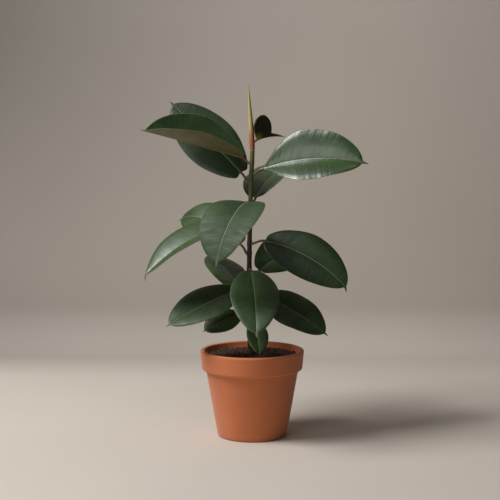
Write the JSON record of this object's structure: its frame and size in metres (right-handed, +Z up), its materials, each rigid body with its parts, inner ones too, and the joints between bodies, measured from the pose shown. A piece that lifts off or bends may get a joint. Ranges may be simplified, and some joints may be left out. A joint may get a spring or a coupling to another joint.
{
  "type": "potted rubber plant",
  "caption": "Rubber plant with broad leathery leaves on one upright stem, potted in soil in a tapered terracotta pot with a thick collar.",
  "frame": {"origin": "centre of the pot's underside, on the surface that the pot stands on", "axes": "+Z up the stem, -Y toward the side with the two broad front leaves, +X to the right seen from that side"},
  "size_m": [0.4283, 0.3362, 0.6753],
  "materials": {
    "terracotta": "matte",
    "soil": "matte",
    "bark": "matte",
    "sheath": "satin",
    "young_leaf": "gloss",
    "leaf": "gloss"
  },
  "bodies": {
    "root": {"terracotta_pot": "terracotta", "potting_soil": "soil", "stem": "bark", "bud_sheath": "sheath", "young_leaf": "young_leaf", "leaf_01": "leaf", "leaf_02": "leaf", "leaf_03": "leaf", "leaf_04": "leaf", "leaf_05": "leaf", "leaf_06": "leaf", "leaf_07": "leaf", "leaf_08": "leaf", "leaf_09": "leaf", "leaf_10": "leaf", "leaf_11": "leaf", "leaf_12": "leaf", "leaf_13": "leaf", "leaf_14": "leaf", "leaf_15": "leaf"}
  },
  "joints": []
}
